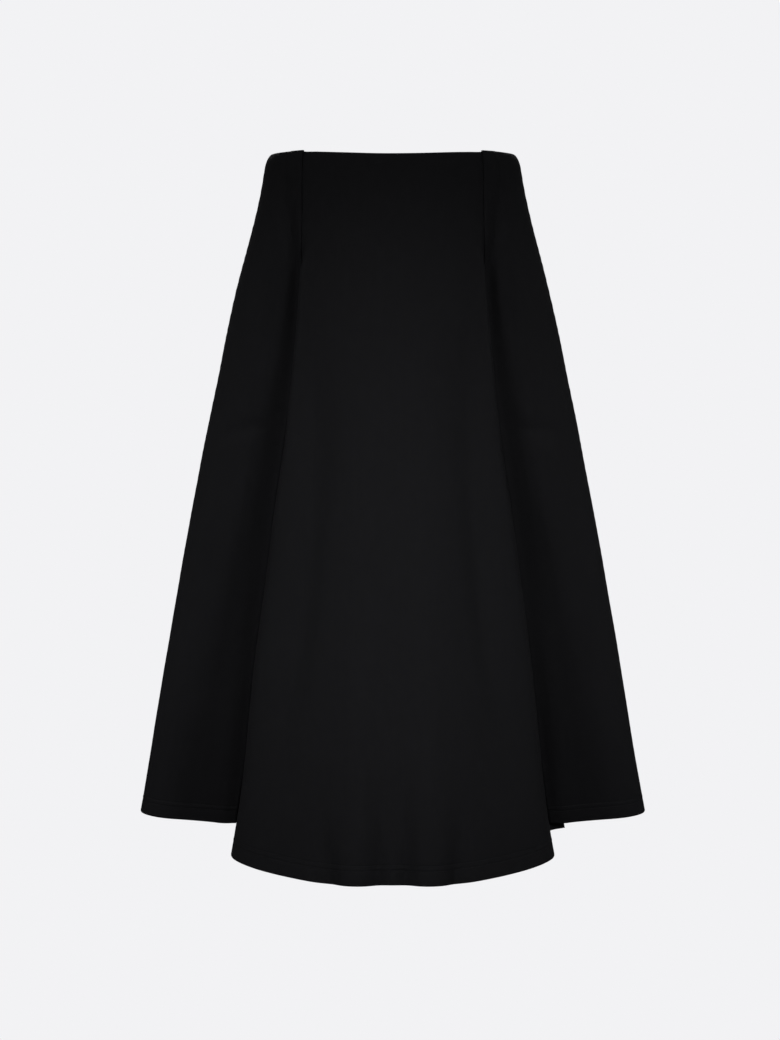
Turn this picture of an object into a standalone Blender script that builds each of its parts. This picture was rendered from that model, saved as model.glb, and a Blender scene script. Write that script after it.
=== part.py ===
"""A-line skirt in black double knit, filled out as if it were worn.

Metres, +Z up. The front faces -Y and +X is the right-hand side as the front is seen. The origin is the centre of the
waist opening, where a wearer holds the skirt up; everything hangs below it.

The cloth is one closed outline at every level: an ellipse at the waist, which opens lower down into a broad flute over
the centre front, a pair of deep folds beside it, and soft flutes round the back. Each panel is a range of that outline,
given a wall on both sides of it.
"""

from collections import namedtuple

import bpy
import numpy as np

# Cloth and sewing
CLOTH = 0.0016  # thickness of the double knit
SEAM_GAP = 0.0003  # between two pieces, at a seam and where one lies on another
ALLOWANCE = (0.0145, 0.0195)  # the centre front's seam allowance at waist and hem, pressed towards the side
LAP_EASE = 0.0022  # how far the side front runs on before it lies down again beyond the allowance
HEM_TURN = 0.0220  # depth of the turned-up hem
WAIST_TURN = 0.0250  # depth of the turned-in waist edge
TURN_CLOTH = 0.0012  # extra thickness where an edge is turned in
TURN_FADE = 0.0060  # the turning thins out over this length beside a seam
WAIST_ROLL = 0.0060  # how far the top edge rolls inwards at the sides
ROLL_REACH = 0.0055  # and how quickly that roll dies away below the edge
ROLL_AT_FRONT = 0.3  # share of the roll that is left at the front and back

# Waist outline: an ellipse of about 0.75 m round
WAIST_HALF_WIDTH = 0.1385
WAIST_HALF_DEPTH = 0.0977
SEAM_AT_WAIST = 0.0943  # the front seams' distance from the centre

# One row for each level below the waist; every other level lies smoothly between them.
SECTION_COLUMNS = ("drop", "side_x", "crest_x", "front_y", "crest_y", "seam_y", "back_y")
SECTIONS = (
    (0.000, 0.1376, 0.0943, 0.0977, 0.0713, 0.0713, 0.0977),
    (0.025, 0.1406, 0.0946, 0.1000, 0.0725, 0.0725, 0.1025),
    (0.055, 0.1466, 0.0950, 0.1035, 0.0740, 0.0740, 0.1095),
    (0.085, 0.1540, 0.0961, 0.1078, 0.0765, 0.0750, 0.1165),
    (0.120, 0.1638, 0.0976, 0.1136, 0.0815, 0.0735, 0.1245),
    (0.180, 0.1789, 0.1016, 0.1250, 0.0890, 0.0690, 0.1355),
    (0.250, 0.1937, 0.1079, 0.1390, 0.0970, 0.0645, 0.1455),
    (0.300, 0.2046, 0.1130, 0.1493, 0.1024, 0.0620, 0.1524),
    (0.370, 0.2184, 0.1236, 0.1638, 0.1098, 0.0585, 0.1624),
    (0.440, 0.2321, 0.1326, 0.1785, 0.1170, 0.0550, 0.1725),
    (0.550, 0.2519, 0.1475, 0.2025, 0.1275, 0.0490, 0.1890),
    (0.650, 0.2688, 0.1577, 0.2250, 0.1375, 0.0435, 0.2060),
    (0.700, 0.2775, 0.1643, 0.2368, 0.1425, 0.0405, 0.2160),
    (0.750, 0.2868, 0.1731, 0.2492, 0.1475, 0.0375, 0.2260),
)

# Centre front, from the middle to the crest of the fold: how far across, and how much of the way from the crest's
# depth to the middle's depth, at the hem. At the waist both follow the ellipse.
CENTRE_COLUMNS = ("across", "rise_at_hem")
CENTRE_STATIONS = (
    (0.00, 0.985),
    (0.22, 1.020),
    (0.40, 0.940),
    (0.58, 0.770),
    (0.76, 0.545),
    (0.91, 0.285),
)

# The fold beside the centre front
FOLD_START = 0.078  # its crest and its hollow part company here
FOLD_OPEN = 0.125  # and are fully apart from here down
CREST_BACK = 0.0120  # above the fold, the crest's station lies this far in front of the seam
FOLD_DEPTH = 0.1100  # how far the seam lies behind the crest at the hem
FOLD_UNDERCUT = 0.0080  # at the hem the wall between crest and seam is drawn in by this
SEAM_SET_OUT = 0.0030  # at the hem the seam lies this much further out than the crest

# Side front, from the seam to the side: how far across, and the shape of its curve at waist and hem
SIDE_STATIONS = (0.34, 0.64, 0.87)
SIDE_SQUARENESS = (1.15, 2.45)  # power of the distance across
SIDE_BEND = (0.50, 0.74)  # power of what is left
SIDE_WIDTH_AT_WAIST = 0.0870  # along the waist edge, from seam to side

# Back, from the right-hand side to the left-hand side: angle round the ellipse, and the flute's reach at the hem
BACK_COLUMNS = ("degrees", "reach")
BACK_STATIONS = (
    (12.0, -0.0040),
    (25.0, -0.0125),
    (36.0, -0.0010),
    (47.0, 0.0105),
    (58.0, 0.0000),
    (69.0, -0.0120),
    (80.0, 0.0005),
    (92.0, 0.0110),
    (103.0, 0.0005),
    (114.0, -0.0135),
    (125.0, 0.0000),
    (135.0, 0.0115),
    (145.0, -0.0005),
    (155.0, -0.0110),
    (168.0, -0.0035),
)
BACK_SQUARENESS = 0.94  # below 1 fills the corners of the back's ellipse
FLUTE_START = 0.140  # the back flutes begin here
FLUTE_POWER = 1.2

# Edges, as drops below the waist
CENTRE_CROWN = 0.0021  # the centre front's top edge rises by this from its middle to its seams
SIDE_CROWN = 0.0038  # and the side front's is this much higher at the seam than at the side
CENTRE_HEM = 0.7440
RIGHT_SEAM_HEM = 0.7468  # the right-hand allowance hangs out below the side front's hem
RIGHT_ALLOWANCE_HEM = 0.7442
LEFT_SEAM_HEM = 0.7372
SIDE_HEM = 0.7368
BACK_HEM = 0.7400
FULL_DROP = 0.7500

# Rows of each wall: metres below the top edge, then drops, then metres above the hem
EDGE_ROW = 0.0008  # the two rows at the edge of a turning lie this far apart
TOP_ROWS = (0.0, 0.0035, 0.0085, 0.0155, WAIST_TURN - EDGE_ROW, WAIST_TURN)
BODY_ROWS = (0.050, 0.074, 0.090, 0.106, 0.125, 0.155, 0.200, 0.255, 0.320, 0.395, 0.475, 0.555, 0.630, 0.685)
HEM_ROWS = (HEM_TURN, HEM_TURN - EDGE_ROW, 0.0080, 0.0)

# Columns of each wall: parts of each stretch between two stations of the centre front, then of all the others together
CENTRE_PARTS = (2, 2, 2, 2, 2, 3, 4, 4)
SIDE_PARTS = 9
BACK_PARTS = 32

# Stations of the outline, counted from the centre front round by the right
CREST = len(CENTRE_STATIONS)
SEAM = CREST + 2
SIDE = SEAM + len(SIDE_STATIONS) + 1
LEFT_SIDE = SIDE + len(BACK_STATIONS) + 1
ROUND = LEFT_SIDE + SIDE

BLACK_KNIT = (0.0105, 0.0105, 0.0125, 1.0)


def clear_scene():
    """Remove the objects that a new file starts with."""
    for old in list(bpy.data.objects):
        bpy.data.objects.remove(old, do_unlink=True)


def ease(value, start, end):
    """0 before start, 1 after end, and a smooth rise between them."""
    part = np.clip((value - start) / (end - start), 0.0, 1.0)
    return part * part * (3.0 - 2.0 * part)


def blend(at_waist, at_hem, drop):
    """A value that changes evenly from the waist to the hem."""
    return at_waist + (at_hem - at_waist) * min(drop / FULL_DROP, 1.0)


class SmoothCurve:
    """A curve through given values, with no break in its slope or its bend. A closed one repeats its first value."""

    def __init__(self, knots, values, closed=False):
        self.knots = np.asarray(knots, dtype=float)
        self.values = np.asarray(values, dtype=float).reshape(len(self.knots), -1)
        self.closed = closed
        count = len(self.knots)
        gaps = np.diff(self.knots)
        rises = np.diff(self.values, axis=0) / gaps[:, None]
        table = np.zeros((count, count))
        right = np.zeros_like(self.values)
        for i in range(1, count - 1):
            table[i, i - 1 : i + 2] = gaps[i], 2.0 * (gaps[i - 1] + gaps[i]), gaps[i - 1]
            right[i] = 3.0 * (gaps[i] * rises[i - 1] + gaps[i - 1] * rises[i])
        if closed:
            table[0, [-2, 0, 1]] = gaps[0], 2.0 * (gaps[-1] + gaps[0]), gaps[-1]
            right[0] = 3.0 * (gaps[0] * rises[-1] + gaps[-1] * rises[0])
            table[-1, [0, -1]] = 1.0, -1.0
        else:
            table[0, :2] = 2.0, 1.0
            right[0] = 3.0 * rises[0]
            table[-1, -2:] = 1.0, 2.0
            right[-1] = 3.0 * rises[-1]
        self.slopes = np.linalg.solve(table, right)

    def at(self, where):
        """The values and the slopes there."""
        first, last = self.knots[0], self.knots[-1]
        if self.closed:
            where = first + (where - first) % (last - first)
        span = int(np.clip(np.searchsorted(self.knots, where) - 1, 0, len(self.knots) - 2))
        gap = self.knots[span + 1] - self.knots[span]
        part = (where - self.knots[span]) / gap
        low, high = self.values[span], self.values[span + 1]
        leave, arrive = self.slopes[span] * gap, self.slopes[span + 1] * gap
        bend = low - high
        value = low + part * (leave + part * (-3.0 * bend - 2.0 * leave - arrive + part * (2.0 * bend + leave + arrive)))
        slope = leave + part * (2.0 * (-3.0 * bend - 2.0 * leave - arrive) + 3.0 * part * (2.0 * bend + leave + arrive))
        return value, slope / gap


SECTION_CURVE = SmoothCurve([row[0] for row in SECTIONS], [row[1:] for row in SECTIONS])


def section(drop):
    """The named measures of the section at one drop below the waist."""
    values, _ = SECTION_CURVE.at(drop)
    return dict(zip(SECTION_COLUMNS[1:], values))


def rise_at_waist(across):
    """How far forward the waist's ellipse lies at a share of the way to the seam: 1 in the middle, 0 at the seam."""
    on_ellipse = np.sqrt(1.0 - (across * SEAM_AT_WAIST / WAIST_HALF_WIDTH) ** 2)
    at_seam = np.sqrt(1.0 - (SEAM_AT_WAIST / WAIST_HALF_WIDTH) ** 2)
    return (on_ellipse - at_seam) / (1.0 - at_seam)


def centre_half(drop, size):
    """Stations of the centre front, from the middle to just before the crest of the fold."""
    points = []
    crest_x = size["crest_x"] - CREST_BACK * (1.0 - ease(drop, FOLD_START, FOLD_OPEN))
    for across, rise_at_hem in CENTRE_STATIONS:
        x = across * crest_x
        rise = blend(rise_at_waist(x / size["crest_x"]), rise_at_hem, drop)
        points.append((x, size["crest_y"] + rise * (size["front_y"] - size["crest_y"])))
    return points


def fold_half(drop, size):
    """Stations of the fold: its crest, the wall behind it, and the seam in the hollow."""
    open_share = ease(drop, FOLD_START, FOLD_OPEN)
    depth = (size["crest_y"] - size["seam_y"]) / FOLD_DEPTH
    seam_x = size["crest_x"] + SEAM_SET_OUT * depth
    points = []
    for back, open_x, open_y in (
        (CREST_BACK, size["crest_x"], size["crest_y"]),
        (CREST_BACK / 2, size["crest_x"] - FOLD_UNDERCUT * depth, (size["crest_y"] + size["seam_y"]) / 2),
    ):
        closed_x = size["crest_x"] - back
        closed_y = size["crest_y"] + rise_at_waist(closed_x / size["crest_x"]) * (size["front_y"] - size["crest_y"])
        x = closed_x + open_share * (open_x - closed_x)
        y = closed_y + open_share * (open_y - closed_y)
        points.append((x, y))
    points.append((seam_x, size["seam_y"]))
    return points


def side_half(drop, size, seam_x):
    """Stations of the side front, from beyond the seam to the side."""
    power = blend(SIDE_SQUARENESS[0], SIDE_SQUARENESS[1], drop)
    bend = blend(SIDE_BEND[0], SIDE_BEND[1], drop)
    points = []
    for across in SIDE_STATIONS:
        x = seam_x + across * (size["side_x"] - seam_x)
        points.append((x, size["seam_y"] * (1.0 - across**power) ** bend))
    points.append((size["side_x"], 0.0))
    return points


def back_round(drop, size):
    """Stations of the back, from just behind the right-hand side to just before the left-hand side."""
    grown = max(drop - FLUTE_START, 0.0) / (FULL_DROP - FLUTE_START)
    squareness = blend(1.0, BACK_SQUARENESS, drop)
    points = []
    for degrees, reach in BACK_STATIONS:
        turn = np.radians(degrees)
        across, behind = np.cos(turn), np.sin(turn)
        x = size["side_x"] * np.sign(across) * abs(across) ** squareness
        y = size["back_y"] * behind**squareness
        out = np.array((across * size["back_y"], behind * size["side_x"]))
        out *= reach * grown**FLUTE_POWER / np.linalg.norm(out)
        points.append((x + out[0], y + out[1]))
    return points


def outline(drop):
    """The closed outline of the cloth at one drop, and how far along it each station lies."""
    size = section(drop)
    half = centre_half(drop, size) + fold_half(drop, size)
    half += side_half(drop, size, half[-1][0])
    right = [(x, -y) for x, y in half]
    left = [(-x, -y) for x, y in reversed(half)]
    points = np.array(right + back_round(drop, size) + left)
    steps = np.linalg.norm(np.diff(points, axis=0), axis=1)
    along = np.concatenate(([0.0], np.cumsum(steps)))
    return SmoothCurve(along, points, closed=True), along


def wall_point(station, extra, drop, offset, below_top):
    """A point of the cloth: at a station of the outline, extra metres further round, offset outwards."""
    curve, along = outline(drop)
    where = np.interp(station, np.arange(len(along)), along) + extra
    (x, y), (run_x, run_y) = curve.at(where)
    length = np.hypot(run_x, run_y)
    out_x, out_y = run_y / length, -run_x / length
    sideways = ROLL_AT_FRONT + (1.0 - ROLL_AT_FRONT) * out_x * out_x
    offset -= WAIST_ROLL * sideways * np.exp(-below_top / ROLL_REACH)
    return x + offset * out_x, y + offset * out_y, -drop


def turning(below_top, above_hem):
    """Extra thickness on the inside, where the waist edge and the hem are turned in."""
    turned = above_hem < HEM_TURN - EDGE_ROW / 2 or below_top < WAIST_TURN - EDGE_ROW / 2
    return TURN_CLOTH if turned else 0.0


# One column of a wall: its station, the metres beyond it, the share of the allowance's width beyond that, the drops of
# its two ends, how far the cloth is lifted outwards, and its share of the turnings' thickness.
Column = namedtuple("Column", "station extra laps top hem lift turned")


def on_the_left(columns):
    """The same columns on the other side of the centre front."""
    return [c._replace(station=ROUND - c.station, extra=-c.extra, laps=-c.laps) for c in reversed(columns)]


def build_wall(name, columns):
    """A panel as one closed wall through its columns."""
    outer, inner = [], []
    for column in columns:
        drops = [column.top + row for row in TOP_ROWS]
        drops += [column.top + (row / FULL_DROP) * (column.hem - column.top) for row in BODY_ROWS]
        drops += [column.hem - row for row in HEM_ROWS]
        for drop in drops:
            extra = column.extra + column.laps * blend(ALLOWANCE[0], ALLOWANCE[1], drop)
            out = column.lift + CLOTH / 2
            thick = CLOTH + column.turned * turning(drop - column.top, column.hem - drop)
            outer.append(wall_point(column.station, extra, drop, out, drop - column.top))
            inner.append(wall_point(column.station, extra, drop, out - thick, drop - column.top))
    rows = len(TOP_ROWS) + len(BODY_ROWS) + len(HEM_ROWS)
    count = len(outer)
    faces = []
    for c in range(len(columns) - 1):
        for r in range(rows - 1):
            a, b = c * rows + r, (c + 1) * rows + r
            faces.append((a, a + 1, b + 1, b))
            faces.append((count + a, count + b, count + b + 1, count + a + 1))
        a, b = c * rows, (c + 1) * rows
        faces.append((a, b, count + b, count + a))
        a, b = a + rows - 1, b + rows - 1
        faces.append((a, count + a, count + b, b))
    last = (len(columns) - 1) * rows
    for r in range(rows - 1):
        faces.append((r, count + r, count + r + 1, r + 1))
        faces.append((last + r, last + r + 1, count + last + r + 1, count + last + r))
    mesh = bpy.data.meshes.new(name)
    mesh.from_pydata(outer + inner, [], faces)
    mesh.validate()
    mesh.shade_smooth()
    mesh.set_sharp_from_angle(angle=np.radians(50))
    return mesh


def knit_material(name):
    """Black double knit: matt, with a faint sheen."""
    material = bpy.data.materials.new(name)
    material.use_nodes = True
    shader = material.node_tree.nodes["Principled BSDF"]
    shader.inputs["Base Color"].default_value = BLACK_KNIT
    shader.inputs["Roughness"].default_value = 0.82
    shader.inputs["Metallic"].default_value = 0.0
    shader.inputs["Sheen Weight"].default_value = 0.25
    return material


def add_panel(name, columns):
    """Put one panel in the scene, with its own material."""
    panel = bpy.data.objects.new(name, build_wall(name, columns))
    panel.data.materials.append(knit_material(name + "_knit"))
    bpy.context.scene.collection.objects.link(panel)
    return panel


def between(first, last, parts):
    """Station values from first up to last, evenly spaced, without the last one."""
    return [first + (last - first) * i / parts for i in range(parts)]


def centre_columns():
    """The centre front with its two seam allowances, from the left-hand one to the right-hand one."""
    stations = []
    for first in range(SEAM):
        stations += between(first, first + 1, CENTRE_PARTS[first])
    halves = []
    for seam_hem, allowance_hem in ((LEFT_SEAM_HEM, LEFT_SEAM_HEM), (RIGHT_SEAM_HEM, RIGHT_ALLOWANCE_HEM)):
        half = []
        for station in stations:
            top = -CENTRE_CROWN * ease(station, 0.0, CREST)
            hem = CENTRE_HEM + (seam_hem - CENTRE_HEM) * ease(station, CREST, SEAM)
            turned = 1.0 - ease(station, SEAM - 1.0, SEAM - 0.5)
            half.append(Column(station, 0.0, 0.0, top, hem, 0.0, turned))
        for laps in (0.0, 0.5, 1.0):
            hem = seam_hem + (allowance_hem - seam_hem) * laps
            half.append(Column(SEAM, 0.0, laps, -CENTRE_CROWN, hem, 0.0, 0.0))
        halves.append(half)
    left, right = halves
    return on_the_left(left[1:]) + right


def side_columns():
    """A side front, from its seam edge, lifted over the allowance, to the side seam."""
    lift = CLOTH + SEAM_GAP
    columns = []
    for extra, laps, up, turned in (
        (SEAM_GAP, 0.0, lift, 0.0),
        (SEAM_GAP, 0.5, lift, 0.0),
        (SEAM_GAP, 1.0, lift, 0.0),
        (SEAM_GAP + LAP_EASE, 1.0, 0.0, 0.0),
        (SEAM_GAP + LAP_EASE + TURN_FADE, 1.0, 0.0, 1.0),
    ):
        top = -SIDE_CROWN * (1.0 - (extra + laps * ALLOWANCE[0]) / SIDE_WIDTH_AT_WAIST)
        columns.append(Column(SEAM, extra, laps, top, SIDE_HEM, up, turned))
    first = SEAM + 1
    for station in between(first, SIDE, SIDE_PARTS) + [SIDE]:
        top = -SIDE_CROWN * (SIDE - station) / (SIDE - SEAM)
        extra = -SEAM_GAP / 2 if station == SIDE else 0.0
        columns.append(Column(station, extra, 0.0, top, SIDE_HEM, 0.0, 1.0))
    return columns


def back_columns():
    """The back, from the right-hand side seam to the left-hand one."""
    columns = []
    for station in between(SIDE, LEFT_SIDE, BACK_PARTS) + [LEFT_SIDE]:
        extra = {SIDE: SEAM_GAP / 2, LEFT_SIDE: -SEAM_GAP / 2}.get(station, 0.0)
        middle = np.sin(np.pi * (station - SIDE) / (LEFT_SIDE - SIDE))
        hem = SIDE_HEM + (BACK_HEM - SIDE_HEM) * middle
        columns.append(Column(station, extra, 0.0, 0.0, hem, 0.0, 1.0))
    return columns


clear_scene()
add_panel("front_centre", centre_columns())
add_panel("side_front_right", side_columns())
add_panel("side_front_left", on_the_left(side_columns()))
add_panel("back", back_columns())
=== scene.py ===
"""The finish of an A-line skirt in black double knit, filled out as if it were worn.

Metres, +Z up, the front facing -Y, the origin in the middle of the waist opening.
"""

import math
from collections import namedtuple

import bpy
import numpy as np
from mathutils import Matrix


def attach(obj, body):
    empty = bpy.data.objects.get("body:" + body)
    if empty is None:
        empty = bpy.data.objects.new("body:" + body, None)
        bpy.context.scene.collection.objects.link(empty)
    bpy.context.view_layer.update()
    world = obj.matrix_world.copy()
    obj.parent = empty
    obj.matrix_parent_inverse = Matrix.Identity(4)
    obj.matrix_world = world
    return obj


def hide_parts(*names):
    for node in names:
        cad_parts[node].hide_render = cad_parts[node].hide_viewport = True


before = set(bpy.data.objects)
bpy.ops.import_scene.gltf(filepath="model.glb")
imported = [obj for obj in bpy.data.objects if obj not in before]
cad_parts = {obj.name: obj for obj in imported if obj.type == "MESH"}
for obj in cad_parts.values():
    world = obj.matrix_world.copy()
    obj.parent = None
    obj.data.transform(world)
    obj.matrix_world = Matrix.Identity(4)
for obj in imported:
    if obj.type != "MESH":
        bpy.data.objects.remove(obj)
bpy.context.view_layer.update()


# --------------------------------------------------------------------------------------------------------
# The centre front: one flared panel of black double knit, cut on the straight grain and sewn to the side
# fronts. Below the hips its long edges swing forward in a deep fold, and its seam allowances run on flat
# under the side fronts. The waist edge and the hem are turned in and sewn down.

CLOTH = 0.0016
SEAM_GAP = 0.0003
ALLOWANCE = (0.0145, 0.0195)  # its width at the waist and at the hem
LAP_EASE = (0.0085, 0.0300)  # beyond it the side front comes down over this width
HEM_TURN = 0.0220
WAIST_TURN = 0.0250
TURN_CLOTH = 0.0012  # what a turning adds to the thickness
WAIST_ROLL = 0.0060  # the waist edge leans in by this at the sides
ROLL_REACH = 0.0055
ROLL_AT_FRONT = 0.3  # share of the lean that is left at the front and the back

WAIST_HALF_WIDTH = 0.1385
SEAM_AT_WAIST = 0.0943

SECTION_COLUMNS = ("drop", "side_x", "crest_x", "front_y", "crest_y", "seam_y", "back_y")
SECTIONS = (
    (0.000, 0.1376, 0.0943, 0.0977, 0.0713, 0.0713, 0.0977),
    (0.025, 0.1406, 0.0946, 0.1000, 0.0725, 0.0725, 0.1025),
    (0.055, 0.1466, 0.0950, 0.1035, 0.0740, 0.0740, 0.1095),
    (0.085, 0.1540, 0.0961, 0.1078, 0.0765, 0.0750, 0.1165),
    (0.120, 0.1638, 0.0976, 0.1136, 0.0815, 0.0735, 0.1245),
    (0.180, 0.1789, 0.1016, 0.1250, 0.0890, 0.0690, 0.1355),
    (0.250, 0.1937, 0.1079, 0.1390, 0.0970, 0.0645, 0.1455),
    (0.300, 0.2046, 0.1130, 0.1493, 0.1024, 0.0620, 0.1524),
    (0.370, 0.2184, 0.1236, 0.1638, 0.1098, 0.0585, 0.1624),
    (0.440, 0.2321, 0.1326, 0.1785, 0.1170, 0.0550, 0.1725),
    (0.550, 0.2519, 0.1475, 0.2025, 0.1275, 0.0490, 0.1890),
    (0.650, 0.2688, 0.1577, 0.2250, 0.1375, 0.0435, 0.2060),
    (0.700, 0.2775, 0.1643, 0.2368, 0.1425, 0.0405, 0.2160),
    (0.750, 0.2868, 0.1731, 0.2492, 0.1475, 0.0375, 0.2260),
)
# share of the way from the middle to the crest, and share of the depth that the hem has there
CENTRE_STATIONS = ((0.00, 0.985), (0.22, 1.020), (0.40, 0.940), (0.58, 0.770), (0.76, 0.545), (0.91, 0.285))
FOLD_START = 0.078
FOLD_OPEN = 0.125
CREST_BACK = 0.0120
FOLD_DEPTH = 0.1100
FOLD_UNDERCUT = 0.0080
SEAM_SET_OUT = 0.0030
SIDE_STATIONS = (0.34, 0.64, 0.87)
SIDE_SQUARENESS = (1.15, 2.45)
SIDE_BEND = (0.50, 0.74)
SIDE_WIDTH_AT_WAIST = 0.0870
# degrees round from the right-hand side, and how far the back's flutes stand out or in at the hem
BACK_STATIONS = (
    (12.0, -0.0040),
    (25.0, -0.0125),
    (36.0, -0.0010),
    (47.0, 0.0105),
    (58.0, 0.0000),
    (69.0, -0.0120),
    (80.0, 0.0005),
    (92.0, 0.0110),
    (103.0, 0.0005),
    (114.0, -0.0135),
    (125.0, 0.0000),
    (135.0, 0.0115),
    (145.0, -0.0005),
    (155.0, -0.0110),
    (168.0, -0.0035),
)
BACK_SQUARENESS = 0.94
FLUTE_START = 0.140
FLUTE_POWER = 1.2

CENTRE_CROWN = 0.0021  # the waist edge rises by this towards the front seams
SIDE_CROWN = 0.0038
CENTRE_HEM = 0.7440
RIGHT_SEAM_HEM = 0.7468
RIGHT_ALLOWANCE_HEM = 0.7442
LEFT_SEAM_HEM = 0.7372
SIDE_HEM = 0.7368
BACK_HEM = 0.7400
FULL_DROP = 0.7500

CREST = len(CENTRE_STATIONS)
SEAM = CREST + 2
SIDE = SEAM + len(SIDE_STATIONS) + 1
LEFT_SIDE = SIDE + len(BACK_STATIONS) + 1
ROUND = LEFT_SIDE + SIDE


def ease(value, start, end):
    """0 before start, 1 after end, and a smooth rise between them."""
    part = np.clip((value - start) / (end - start), 0.0, 1.0)
    return part * part * (3.0 - 2.0 * part)


def blend(at_waist, at_hem, drop):
    """A value that changes evenly from the waist to the hem."""
    return at_waist + (at_hem - at_waist) * np.minimum(drop / FULL_DROP, 1.0)


class SmoothCurve:
    """A curve through given values, smooth in slope and bend. A closed one repeats its first value."""

    def __init__(self, knots, values, closed=False):
        self.knots = np.asarray(knots, dtype=float)
        self.values = np.asarray(values, dtype=float).reshape(len(self.knots), -1)
        self.closed = closed
        count = len(self.knots)
        gaps = np.diff(self.knots)
        rises = np.diff(self.values, axis=0) / gaps[:, None]
        table = np.zeros((count, count))
        right = np.zeros_like(self.values)
        for i in range(1, count - 1):
            table[i, i - 1 : i + 2] = gaps[i], 2.0 * (gaps[i - 1] + gaps[i]), gaps[i - 1]
            right[i] = 3.0 * (gaps[i] * rises[i - 1] + gaps[i - 1] * rises[i])
        if closed:
            table[0, [-2, 0, 1]] = gaps[0], 2.0 * (gaps[-1] + gaps[0]), gaps[-1]
            right[0] = 3.0 * (gaps[0] * rises[-1] + gaps[-1] * rises[0])
            table[-1, [0, -1]] = 1.0, -1.0
        else:
            table[0, :2] = 2.0, 1.0
            right[0] = 3.0 * rises[0]
            table[-1, -2:] = 1.0, 2.0
            right[-1] = 3.0 * rises[-1]
        self.slopes = np.linalg.solve(table, right)

    def at(self, where):
        """The values and the slopes at each of several places."""
        first, last = self.knots[0], self.knots[-1]
        where = np.asarray(where, dtype=float)
        if self.closed:
            where = first + (where - first) % (last - first)
        span = np.clip(np.searchsorted(self.knots, where) - 1, 0, len(self.knots) - 2)
        gap = (self.knots[span + 1] - self.knots[span])[:, None]
        part = (where - self.knots[span])[:, None] / gap
        low, high = self.values[span], self.values[span + 1]
        leave, arrive = self.slopes[span] * gap, self.slopes[span + 1] * gap
        square = -3.0 * (low - high) - 2.0 * leave - arrive
        cube = 2.0 * (low - high) + leave + arrive
        value = low + part * (leave + part * (square + part * cube))
        slope = leave + part * (2.0 * square + 3.0 * part * cube)
        return value, slope / gap


SECTION_CURVE = SmoothCurve([row[0] for row in SECTIONS], [row[1:] for row in SECTIONS])


def rise_at_waist(across):
    """How far forward the waist's ellipse lies, from 0 at the seam to 1 in the middle."""
    on_ellipse = math.sqrt(1.0 - (across * SEAM_AT_WAIST / WAIST_HALF_WIDTH) ** 2)
    at_seam = math.sqrt(1.0 - (SEAM_AT_WAIST / WAIST_HALF_WIDTH) ** 2)
    return (on_ellipse - at_seam) / (1.0 - at_seam)


def centre_half(drop, size):
    """Stations of the centre front, from the middle to just before the crest of the fold."""
    points = []
    closed = CREST_BACK * (1.0 - ease(drop, FOLD_START, FOLD_OPEN))
    for across, rise_at_hem in CENTRE_STATIONS:
        x = across * (size["crest_x"] - closed * across**2)
        rise = blend(rise_at_waist(x / size["crest_x"]), rise_at_hem, drop)
        points.append((x, size["crest_y"] + rise * (size["front_y"] - size["crest_y"])))
    return points


def fold_half(drop, size):
    """Stations of the fold: its crest, the wall behind it, and the seam in the hollow."""
    crest_x, crest_y, seam_y = size["crest_x"], size["crest_y"], size["seam_y"]
    open_share = ease(drop, FOLD_START, FOLD_OPEN)
    depth = (crest_y - seam_y) / FOLD_DEPTH
    points = []
    for back, open_x, open_y in (
        (CREST_BACK, crest_x, crest_y),
        (CREST_BACK / 2, crest_x - FOLD_UNDERCUT * depth, (crest_y + seam_y) / 2),
    ):
        closed_x = crest_x - back
        closed_y = crest_y + rise_at_waist(closed_x / crest_x) * (size["front_y"] - crest_y)
        x = closed_x + open_share * (open_x - closed_x)
        y = closed_y + open_share * (open_y - closed_y)
        points.append((x, y))
    points.append((crest_x + SEAM_SET_OUT * depth, seam_y))
    return points


def side_half(drop, size, seam_x):
    """Stations of the side front, from beyond the seam to the side."""
    power = blend(SIDE_SQUARENESS[0], SIDE_SQUARENESS[1], drop)
    bend = blend(SIDE_BEND[0], SIDE_BEND[1], drop)
    points = []
    for across in SIDE_STATIONS:
        x = seam_x + across * (size["side_x"] - seam_x)
        points.append((x, size["seam_y"] * (1.0 - across**power) ** bend))
    points.append((size["side_x"], 0.0))
    return points


def back_round(drop, size):
    """Stations of the back, from just behind the right-hand side to just before the left-hand side."""
    grown = max(drop - FLUTE_START, 0.0) / (FULL_DROP - FLUTE_START)
    squareness = blend(1.0, BACK_SQUARENESS, drop)
    points = []
    for degrees, reach in BACK_STATIONS:
        turn = math.radians(degrees)
        across, behind = math.cos(turn), math.sin(turn)
        x = size["side_x"] * np.sign(across) * abs(across) ** squareness
        y = size["back_y"] * behind**squareness
        out = np.array((across * size["back_y"], behind * size["side_x"]))
        out *= reach * grown**FLUTE_POWER / np.linalg.norm(out)
        points.append((x + out[0], y + out[1]))
    return points


def outline(drop):
    """The closed outline of the cloth at one drop, and how far along it each station lies."""
    size = dict(zip(SECTION_COLUMNS[1:], SECTION_CURVE.at([drop])[0][0]))
    half = centre_half(drop, size) + fold_half(drop, size)
    half += side_half(drop, size, half[-1][0])
    right = [(x, -y) for x, y in half]
    left = [(-x, -y) for x, y in reversed(half)]
    points = np.array(right + back_round(drop, size) + left)
    steps = np.linalg.norm(np.diff(points, axis=0), axis=1)
    along = np.concatenate(([0.0], np.cumsum(steps)))
    return SmoothCurve(along, points, closed=True), along


LEVEL_STEP = 0.004
LEVELS = np.arange(-3 * LEVEL_STEP, FULL_DROP + 3 * LEVEL_STEP, LEVEL_STEP)
OUTLINES = [outline(drop) for drop in LEVELS]

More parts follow.
